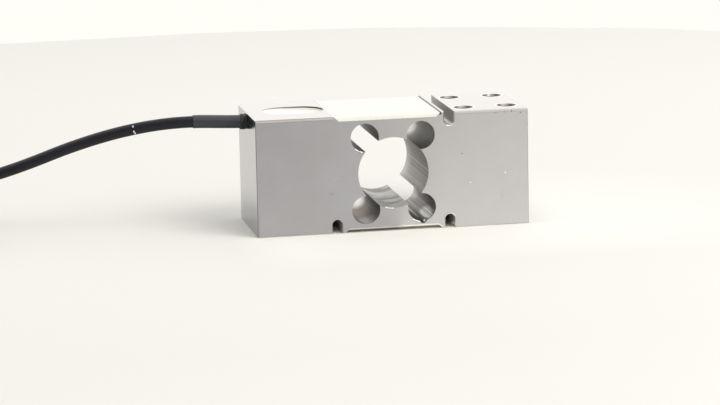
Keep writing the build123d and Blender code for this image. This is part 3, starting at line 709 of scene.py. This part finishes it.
@dataclass(frozen=True)
class Plain:
    """A moulded or drawn material with a fine grain and a slight tone change."""

    slot: Slot
    light: Colour
    dark: Colour
    roughness: float
    metallic: float = 0.0
    grain_depth: float = 0.00005
    specular: float = 0.5
    scuffs: Sequence[Mark] = ()
    scuffed: Colour = colour(226, 226, 228)

    def material(self) -> bpy.types.Material:
        """Make the material.

        Returns:
            The material, with its scuffs.
        """
        graph = Graph(self.slot.value)
        cloud = graph.noise(160.0, 3.0)
        grain = graph.noise(900.0, 3.0)
        tone = graph.ramp(cloud * 0.5 + grain * 0.5, 0.35, 0.65)
        base = graph.blend(tone, self.dark, self.light)
        for scuff in self.scuffs:
            base = graph.blend(graph.near(scuff.centre, scuff.reach), base, self.scuffed)
        return graph.shade(
            Base_Color=base,
            Metallic=self.metallic,
            Roughness=self.roughness + (grain - 0.5) * 0.2,
            Specular_IOR_Level=self.specular,
            Normal=graph.bump(grain, 0.3, self.grain_depth),
        )


SCUFFS = (
    Mark((-136.8, 3.6, 58.8), (0.55, 2.0, 0.6)),
    Mark((-136.4, 3.6, 56.0), (0.5, 2.0, 0.8)),
    Mark((-135.7, 3.6, 54.9), (0.5, 2.0, 0.9)),
)
FINISHES = (
    MachinedAluminium(),
    Silicone(Slot.COVER, colour(244, 241, 233), colour(237, 234, 226), 0.42),
    Silicone(Slot.POTTING, colour(250, 249, 240), colour(244, 243, 233), 0.35),
    Plain(Slot.JACKET, colour(31, 31, 38), colour(23, 23, 30), 0.5, specular=0.26, scuffs=SCUFFS),
    Plain(Slot.SLEEVE, colour(56, 55, 62), colour(44, 43, 50), 0.5),
    Plain(Slot.SEAL, colour(38, 37, 40), colour(26, 25, 28), 0.6, grain_depth=0.0004),
    Plain(Slot.FOIL, colour(205, 150, 90), colour(190, 135, 80), 0.4),
    Plain(Slot.COPPER, colour(214, 140, 100), colour(196, 122, 84), 0.35, 0.9),
    Plain(Slot.BRIDGE, colour(196, 60, 50), colour(170, 48, 40), 0.45),
    Plain(Slot.JUMPER, colour(205, 150, 112), colour(186, 130, 96), 0.35, 0.9),
    Plain(Slot.FOAM, colour(96, 96, 98), colour(82, 82, 84), 0.8),
    Plain(Slot.BOARD, colour(40, 118, 66), colour(32, 100, 54), 0.4),
    Plain(Slot.RESISTOR, colour(96, 130, 170), colour(82, 114, 152), 0.3),
    Plain(Slot.RED, colour(186, 34, 30), colour(166, 26, 24), 0.4),
    Plain(Slot.BLACK, colour(36, 36, 38), colour(28, 28, 30), 0.4),
    Plain(Slot.GREEN, colour(34, 128, 56), colour(28, 112, 48), 0.4),
    Plain(Slot.WHITE, colour(232, 232, 228), colour(220, 220, 216), 0.4),
    Plain(Slot.SHIELD, colour(206, 190, 62), colour(188, 172, 54), 0.4),
    Plain(Slot.TINNED, colour(200, 198, 194), colour(176, 172, 166), 0.35, 1.0),
    Plain(Slot.CLAMP, colour(176, 176, 178), colour(156, 156, 158), 0.35, 1.0),
)


class Workshop:
    """Makes each material once, and dresses pieces and CAD nodes with them."""

    def __init__(self) -> None:
        """Start with no material made."""
        self.made: dict[Slot, bpy.types.Material] = {}

    def material(self, slot: Slot) -> bpy.types.Material:
        """Find or make a slot's material.

        Args:
            slot: the slot.

        Returns:
            Its material.
        """
        if slot not in self.made:
            finish = next(f for f in FINISHES if f.slot is slot)
            self.made[slot] = finish.material()
        return self.made[slot]

    def dress(self, piece: bpy.types.Object, slot: Slot) -> None:
        """Give a new piece a slot and its material.

        Args:
            piece: the piece.
            slot: the slot.
        """
        piece.data.materials.clear()
        piece.data.materials.append(self.material(slot))

    def dress_nodes(self) -> None:
        """Give every CAD node the material of its slot in the record."""
        for row in frame["record"]["subparts"]:
            node = frame["nodes"][row["node"]]
            node.data.materials.clear()
            node.data.materials.append(self.material(Slot(row["material_slot"])))
            LOG.info("node %s gets %s", row["node"], row["material_slot"])


def skin(
    name: str, outer: Sequence[Sequence[Point]], inner: Sequence[Sequence[Point]]
) -> bpy.types.Object:
    """Make a closed piece between two sheets of points with the same rows.

    Args:
        name: the piece's name.
        outer: rows of points in millimetres on the side that shows.
        inner: rows of points in millimetres on the side that's covered.

    Returns:
        The piece, shaded smooth apart from its sharp edges.
    """
    built = bmesh.new()
    rims = []
    for sheet in (outer, inner):
        made = [[built.verts.new([c * MM for c in point]) for point in row] for row in sheet]
        for row, next_row in zip(made, made[1:]):
            for corners in zip(row, row[1:], next_row[1:], next_row):
                built.faces.new(corners)
        ends = [row[-1] for row in made[1:-1]] + made[-1][::-1]
        rims.append(made[0] + ends + [row[0] for row in made[-2:0:-1]])
    top, bottom = rims
    for corners in zip(top, top[1:] + top[:1], bottom[1:] + bottom[:1], bottom):
        built.faces.new(corners)
    bmesh.ops.remove_doubles(built, verts=built.verts, dist=WELD)
    bmesh.ops.recalc_face_normals(built, faces=built.faces)
    mesh = bpy.data.meshes.new(name)
    built.to_mesh(mesh)
    built.free()
    mesh.shade_smooth()
    mesh.set_sharp_from_angle(angle=SHARP_ANGLE)
    piece = bpy.data.objects.new(name, mesh)
    bpy.context.scene.collection.objects.link(piece)
    return piece


def spread(low: float, high: float, steps: int) -> list[float]:
    """Return values from low to high that lie closer together at both ends."""
    middle, half = (low + high) / 2, (high - low) / 2
    return [middle - half * math.cos(math.pi * step / steps) for step in range(steps + 1)]


@dataclass
class GaugeCover:
    """White silicone poured into a gauge recess with ramped ends, in millimetres."""

    name: str
    replaces: str
    floor_z: float
    outward: float
    thickness: float
    at_floor: Span
    at_surface: Span
    half_width: float
    rim: float
    sink: float
    lap: float
    lap_width: float = 0.4
    wave: float = 0.05
    wave_scale: float = 0.12
    lump_scale: float = 0.8
    stations: int = 120
    lanes: int = 56

    def wobble(self, x: float, y: float, scale: float) -> float:
        """Return smooth noise of about -1 to 1 at a place."""
        return noise.noise(Vector((x * scale, y * scale, self.floor_z)))

    def under(self, x: float) -> float:
        """Return the height of the covered side.

        Args:
            x: place along the beam.

        Returns:
            The height of the ramps over the recess floor.
        """
        rise = 0.0
        for floor_x, surface_x in zip(self.at_floor, self.at_surface):
            run = (x - floor_x) / (surface_x - floor_x)
            rise = max(rise, run * self.thickness)
        return rise

    def surface(self, x: float, y: float) -> float:
        """Return the height of the open side over the recess floor.

        Args:
            x: place along the beam.
            y: place across the beam.

        Returns:
            The height, rounded down to the rim at both long edges.
        """
        inward = min(1.0, (self.half_width - abs(y)) / self.rim)
        rounded = self.sink * (1 - math.sqrt(1 - (1 - inward) ** 2))
        ramp = self.under(x)
        wave = self.wave * self.wobble(x, y, self.wave_scale) * min(1.0, self.thickness - ramp)
        return max(self.thickness + wave - rounded, ramp)

    def build(self, shop: Workshop) -> bpy.types.Object:
        """Make the cover.

        Args:
            shop: gives the material.

        Returns:
            The cover.
        """
        outer, inner = [], []
        edge = self.half_width
        for x in spread(*self.at_surface, self.stations):
            open_row, covered_row = [], []
            for y in spread(-edge, edge, self.lanes):
                near_edge = max(0.0, (abs(y) - edge + self.lap_width) / self.lap_width)
                lump = 1 + 0.5 * self.wobble(x, y, self.lump_scale)
                sunk = self.under(x) - self.lap * near_edge * lump
                high = self.surface(x, y)
                open_row.append((x, y, self.floor_z + self.outward * high))
                covered_row.append((x, y, self.floor_z + self.outward * sunk))
            outer.append(open_row)
            inner.append(covered_row)
        cover = skin(self.name, outer, inner)
        shop.dress(cover, Slot.COVER)
        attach(cover, "root")
        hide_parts(self.replaces)
        LOG.info("%s poured", self.name)
        return cover


TOP_COVER = GaugeCover(
    name="top_cover_skin",
    replaces="top_gauge_cover",
    floor_z=61.8,
    outward=1.0,
    thickness=1.75,
    at_floor=(-29.48, 24.03),
    at_surface=(-31.56, 26.11),
    half_width=30.0,
    rim=0.8,
    sink=0.8,
    lap=0.42,
)
BOTTOM_COVER = GaugeCover(
    name="bottom_cover_skin",
    replaces="bottom_gauge_cover",
    floor_z=2.2,
    outward=-1.0,
    thickness=1.9,
    at_floor=(-24.38, 24.38),
    at_surface=(-26.64, 26.64),
    half_width=28.8,
    rim=7.0,
    sink=1.2,
    lap=0.0,
)


@dataclass
class PocketFill:
    """Potting in the wiring pocket, creeping up the walls, in millimetres."""

    left: float = -66.25
    right: float = -32.85
    half_width: float = 12.0
    top_z: float = 64.0
    floor_z: float = 50.0
    drop_left: float = 0.35
    drop_right: float = 1.5
    creep: float = 0.42
    creep_reach: float = 0.9
    wave: float = 0.02
    wave_scale: float = 0.3
    tip: float = 0.01
    stations: int = 100
    lanes: int = 56

    def edge(self, x: float) -> float:
        """Return the half width of the pocket at a place along it."""
        from_end = min(x - self.left, self.right - x, self.half_width)
        return math.sqrt(max(0.0, self.half_width**2 - (self.half_width - from_end) ** 2))

    def height(self, x: float, y: float) -> float:
        """Return the height of the open side.

        Args:
            x: place along the beam.
            y: place across the beam.

        Returns:
            The height over the beam's underside.
        """
        share = (x - self.left) / (self.right - self.left)
        drop = self.drop_left + (self.drop_right - self.drop_left) * share
        middle = min(max(x, self.left + self.half_width), self.right - self.half_width)
        to_wall = self.half_width - math.hypot(x - middle, y)
        creep = drop * self.creep * math.exp(-max(0.0, to_wall) / self.creep_reach)
        ripple = self.wave * noise.noise(Vector((x * self.wave_scale, y * self.wave_scale, 0.0)))
        return self.top_z - drop + creep + ripple

    def build(self, shop: Workshop) -> bpy.types.Object:
        """Make the potting.

        Args:
            shop: gives the material.

        Returns:
            The potting.
        """
        outer, inner = [], []
        for x in spread(self.left, self.right, self.stations):
            edge = max(self.edge(x), self.tip)
            across = spread(-edge, edge, self.lanes)
            outer.append([(x, y, self.height(x, y)) for y in across])
            inner.append([(x, y, self.floor_z) for y in across])
        fill = skin("potting_fill", outer, inner)
        shop.dress(fill, Slot.POTTING)
        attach(fill, "root")
        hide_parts("pocket_potting")
        LOG.info("pocket potted")
        return fill


@dataclass
class SealPaste:
    """Black compound smeared round the sleeve at the beam's face, in millimetres."""

    exit: Point = (-75.0, 0.0, 59.2)
    inner_r: float = 3.55
    outer_r: float = 4.1
    length: float = 4.0
    ragged: float = 0.75
    stations: int = 26
    spokes: int = 72

    def lump(self, angle: float, scale: float, along: float) -> float:
        """Return smooth noise of about -1 to 1 at an angle round the sleeve."""
        return noise.noise(Vector((math.cos(angle) * scale, math.sin(angle) * scale, along)))

    def build(self, shop: Workshop) -> bpy.types.Object:
        """Make the ring of compound.

        Args:
            shop: gives the material.

        Returns:
            The ring.
        """
        outer, inner = [], []
        for station in range(self.stations + 1):
            share = station / self.stations
            fade = min(1.0, 8 * (1 - share), 4 * share + 0.5)
            open_row, covered_row = [], []
            for spoke in range(self.spokes + 1):
                angle = 2 * math.pi * (spoke % self.spokes) / self.spokes
                cos, sin = math.cos(angle), math.sin(angle)
                lumps = 0.6 * self.lump(angle, 3, share * 4)
                lumps += 0.6 * self.lump(angle, 5, share * 8 + 7)
                x = self.exit[0] - self.length * share * (1 + 0.12 * self.lump(angle, 4, 3))
                r = self.inner_r + (self.outer_r - self.inner_r) * fade
                r = max(self.inner_r, r + self.ragged * lumps * fade)
                open_row.append((x, r * cos, self.exit[2] + r * sin))
                covered_row.append((x, self.inner_r * cos, self.exit[2] + self.inner_r * sin))
            outer.append(open_row)
            inner.append(covered_row)
        paste = skin("seal_paste", outer, inner)
        shop.dress(paste, Slot.SEAL)
        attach(paste, "root")
        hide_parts("cable_seal")
        LOG.info("seal paste made")
        return paste


@dataclass
class SignalCable:
    """The cable: its route is the part's own, then eight turns and a tail.

    The route and the turns, each a radius and a height, are in millimetres.
    """

    diameter: float = 6.4 * MM
    length: float = 1.94
    exit: Point = (-75 * MM, 0.0, 59.2 * MM)
    coil_x: float = -278.0
    points_per_turn: int = 16
    climb_from: float = 0.72
    climb_run: float = 0.28
    tail: float = 24.0
    route: Sequence[Point] = (
        (-62.4, 0, 59.2),
        (-80, 0, 59.2),
        (-110, 0.2, 60.9),
        (-138, 6.5, 57.1),
        (-167, 18, 47.9),
        (-196, 29, 35.4),
        (-221, 35.5, 27.6),
        (-243, 37.2, 20.5),
        (-262, 36.5, 15.43),
    )
    turns: Sequence[Span] = (
        (36.5, 14.23),
        (39.75, 8.71),
        (33.25, 8.71),
        (26.75, 8.71),
        (23.5, 3.2),
        (30.0, 3.2),
        (36.5, 3.2),
        (43.0, 3.2),
    )

    def control_points(self) -> list[Point]:
        """Place the spline's points.

        Returns:
            The points of the route, the turns and the tail.
        """
        points = [tuple(c * MM for c in p) for p in self.route]
        step = 2 * math.pi / self.points_per_turn
        # A spline of order 3 runs this much inside its points
        swell = 1 / (0.75 + 0.25 * math.cos(step))
        last = self.turns[-1]
        for index, (radius, height) in enumerate(self.turns):
            next_radius, next_height = self.turns[min(index + 1, len(self.turns) - 1)]
            for place in range(self.points_per_turn):
                share = place / self.points_per_turn
                shift = max(0.0, (share - self.climb_from) / self.climb_run)
                shift = shift * shift * (3 - 2 * shift)
                r = (radius + (next_radius - radius) * shift) * swell
                z = height + (next_height - height) * shift
                angle = math.pi / 2 + step * place
                points.append(
                    (
                        (self.coil_x + r * math.cos(angle)) * MM,
                        r * math.sin(angle) * MM,
                        z * MM,
                    )
                )
        for back in (0.0, 0.5, 1.0):
            points.append(
                ((self.coil_x - self.tail * back) * MM, last[0] * MM, last[1] * MM)
            )
        return points

    def build(self, shop: Workshop, seal: bpy.types.Object) -> bpy.types.Object:
        """Args:
            shop: gives the material.
            seal: the compound round the cable; not used.

        Returns:
            The cable.
        """
        data = bpy.data.curves.new("signal_cable", "CURVE")
        data.dimensions = "3D"
        data.resolution_u = 8
        spline = data.splines.new("NURBS")
        points = self.control_points()
        spline.points.add(len(points) - 1)
        for target, place in zip(spline.points, points):
            target.co = (*place, 1.0)
        spline.order_u = 3
        spline.use_endpoint_u = True
        data.bevel_depth = self.diameter / 2
        data.bevel_resolution = 6
        data.use_fill_caps = True
        cable = bpy.data.objects.new("signal_cable", data)
        bpy.context.scene.collection.objects.link(cable)
        shop.dress(cable, Slot.JACKET)
        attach(cable, "root")
        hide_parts("cable", "cable_coil", "cable_tail")
        LOG.info("signal cable made of %d points", len(points))
        return cable


@dataclass
class PhotoCamera:
    """The camera, from a fit to the block's corners and holes.

    Angles are in radians, distances in millimetres from the block's front left
    foot, the focal length and the width in picture elements.
    """

    yaw: float = 0.182717
    pitch: float = 0.186813
    roll: float = -0.020608
    focal_px: float = 3352.123
    image_width: float = 720.0
    sensor_width: float = 36.0
    shift_right: float = 55.287147
    shift_up: float = 18.168633
    distance: float = 1806.28119
    corner: Span = (-75.0, -30.0)

    def build(self) -> bpy.types.Object:
        """Make the camera and set it as the scene's own.

        Returns:
            The camera.
        """
        cy, sy = math.cos(self.yaw), math.sin(self.yaw)
        cp, sp = math.cos(self.pitch), math.sin(self.pitch)
        cr, sr = math.cos(self.roll), math.sin(self.roll)
        side = self.shift_right
        back = -self.distance * cp + self.shift_up * sp
        height = self.distance * sp + self.shift_up * cp
        place = Vector((side * cy + back * sy, -side * sy + back * cy, height))
        place += Vector((self.corner[0], self.corner[1], 0.0))
        right = Vector((cy, -sy, 0.0))
        ahead = Vector((cp * sy, cp * cy, -sp))
        up = Vector((sp * sy, sp * cy, cp))
        x_axis = right * cr + up * sr
        y_axis = up * cr - right * sr
        data = bpy.data.cameras.new("photo_camera")
        data.sensor_width = self.sensor_width
        data.lens = self.focal_px * data.sensor_width / self.image_width
        data.clip_start = 0.1
        data.clip_end = 50.0
        camera = bpy.data.objects.new("photo_camera", data)
        turn = Matrix((x_axis, y_axis, -ahead)).transposed().to_4x4()
        camera.matrix_world = Matrix.Translation(place * MM) @ turn
        bpy.context.scene.collection.objects.link(camera)
        bpy.context.scene.camera = camera
        return camera


@dataclass(frozen=True)
class Lamp:
    """One area lamp of the studio, in metres and watts."""

    name: str
    place: Point
    size: Span
    power: float
    tint: Colour
    aim: Point = (0.0, 0.0, 0.03)
    turn: float = 0.0
    lights_all: bool = True

    def build(self) -> None:
        """Make the lamp; the camera doesn't see it."""
        data = bpy.data.lights.new(self.name, "AREA")
        data.shape = "RECTANGLE"
        data.size, data.size_y = self.size
        data.energy = self.power
        data.color = self.tint[:3]
        lamp = bpy.data.objects.new(self.name, data)
        lamp.location = self.place
        aim = Vector(self.aim) - Vector(self.place)
        turned = Matrix.Rotation(self.turn, 3, "Z") @ aim.to_track_quat("-Z", "Y").to_matrix()
        lamp.rotation_euler = turned.to_euler()
        lamp.visible_camera = False
        lamp.visible_diffuse = self.lights_all
        bpy.context.scene.collection.objects.link(lamp)


@dataclass
class Studio:
    """Pale floor, white surroundings and soft lamps, in metres.

    Each span is where a change of the floor or the room begins and ends.
    """

    floor_half: float = 3.0
    floor_back: Sequence[Span] = (
        (3.0, -0.4),
        (0.8, 0.35),
        (0.5, 0.6),
        (0.4, 0.664),
        (0.343, 0.706),
        (0.285, 0.727),
        (0.227, 0.753),
        (0.137, 0.778),
        (0.012, 0.791),
        (-0.145, 0.781),
        (-3.0, 0.75),
    )
    # The floor's colours: lighter far back and darker at the front left, painted light and shade;
    # floor_glow is a painted glow
    floor_near: Colour = colour(250, 248, 243)
    floor_left: Colour = colour(244, 242, 237)
    floor_glow: Colour = colour(108, 105, 97)
    floor_far: Colour = colour(255, 253, 249)
    backdrop: Colour = colour(255, 254, 247)
    room: Colour = colour(255, 254, 251)
    room_even: float = 0.7
    room_back: float = 1.76
    room_front: float = 0.16
    room_turn: Span = (-0.5, 0.05)
    far_span: Span = (0.05, 0.45)
    left_span: Span = (0.0, 0.3)
    front_span: Span = (-0.3, -0.08)
    glow_spans: Sequence[Span] = ((-0.09, -0.06), (0.08, 0.22), (-0.12, -0.04), (-0.03, 0.14))
    block_spans: Sequence[Span] = ((-0.0306, -0.0302), (0.0755, 0.1))
    lamps: Sequence[Lamp] = (
        Lamp("key_softbox", (1.2, -1.45, 1.84), (1.7, 1.7), 33.0, colour(255, 254, 250)),
        Lamp(
            "floor_card",
            (0.39, -0.391, 0.0004),
            (0.62, 0.87),
            1.22,
            colour(255, 249, 229),
            aim=(0.39, -0.391, 1.0),
            turn=math.radians(11.0),
            lights_all=False,
        ),
        Lamp(
            "front_card",
            (-0.033, -0.141, 0.0004),
            (0.09, 0.22),
            0.012,
            colour(255, 250, 240),
            aim=(-0.033, -0.141, 1.0),
            lights_all=False,
        ),
    )

    def build(self) -> None:
        """Make the floor, the world and the lamps."""
        self.floor()
        self.world()
        for lamp in self.lamps:
            lamp.build()

    def floor(self) -> None:
        """Make the floor, painted lighter towards the back and darker at the front left, with a
        painted glow in front of the block for the light that it throws back.
        """
        half = self.floor_half
        mesh = bpy.data.meshes.new("floor")
        corners = [(-half, -half), (half, -half), *self.floor_back]
        mesh.from_pydata([(x, y, 0.0) for x, y in corners], [], [range(len(corners))])
        floor = bpy.data.objects.new("floor", mesh)
        bpy.context.scene.collection.objects.link(floor)
        graph = Graph("floor")
        aside, depth, _ = graph.axes()
        # Painted light and shade: the floor lighter towards the back, darker at its front left
        far = graph.ramp(depth, *self.far_span)
        shade = graph.blend(far, self.floor_near, self.floor_far)
        left_front = 1 - graph.ramp(aside, *self.left_span)
        left_front = left_front * (1 - graph.ramp(depth, *self.front_span))
        shade = graph.blend(left_front, shade, self.floor_left)
        # A painted glow, as emission, in front of the block for the light that it throws back; none
        # under the block
        from_left, to_right, from_front, to_back = self.glow_spans
        beside = graph.ramp(aside, *from_left) * (1 - graph.ramp(aside, *to_right))
        before = graph.ramp(depth, *from_front) * (1 - graph.ramp(depth, *to_back))
        block_front, block_right = self.block_spans
        covered = graph.ramp(depth, *block_front) * (1 - graph.ramp(aside, *block_right))
        glow = beside * before * (1 - covered)
        glow = graph.blend(glow, colour(0, 0, 0), self.floor_glow)
        mesh.materials.append(
            graph.shade(Base_Color=shade, Roughness=0.9, Emission_Color=glow, Emission_Strength=1.0)
        )

    def world(self) -> None:
        """Make the world: even light, and a room with a dark front in reflections."""
        world = bpy.data.worlds.new("studio")
        bpy.context.scene.world = world
        world.use_nodes = True
        graph = Graph.of_tree(world.node_tree)
        _, depth, _ = graph.split(graph.node("TexCoord", output="Generated"))
        back = graph.ramp(depth, *self.room_turn)
        mirrored = self.room_front + back * (self.room_back - self.room_front)
        seen = graph.node("LightPath", output="Is Camera Ray")
        glossy = graph.node("LightPath", output="Is Glossy Ray")
        strength = mirrored * glossy + self.room_even * (1 - glossy)
        output = graph.tree.nodes.new("ShaderNodeOutputWorld")
        light = graph.node(
            "Background",
            None,
            {
                "Color": graph.blend(seen, self.room, self.backdrop),
                "Strength": strength * (1 - seen) + seen,
            },
        )
        graph.tree.links.new(light.socket, output.inputs["Surface"])


def main() -> None:
    """Build every piece in order."""
    logging.basicConfig(level=logging.INFO, format="%(message)s")
    scene = bpy.context.scene
    scene.view_settings.view_transform = "Standard"
    PhotoCamera().build()
    shop = Workshop()
    shop.dress_nodes()
    TOP_COVER.build(shop)
    BOTTOM_COVER.build(shop)
    PocketFill().build(shop)
    seal = SealPaste().build(shop)
    SignalCable().build(shop, seal)
    Studio().build()


if __name__ == "__main__":
    main()
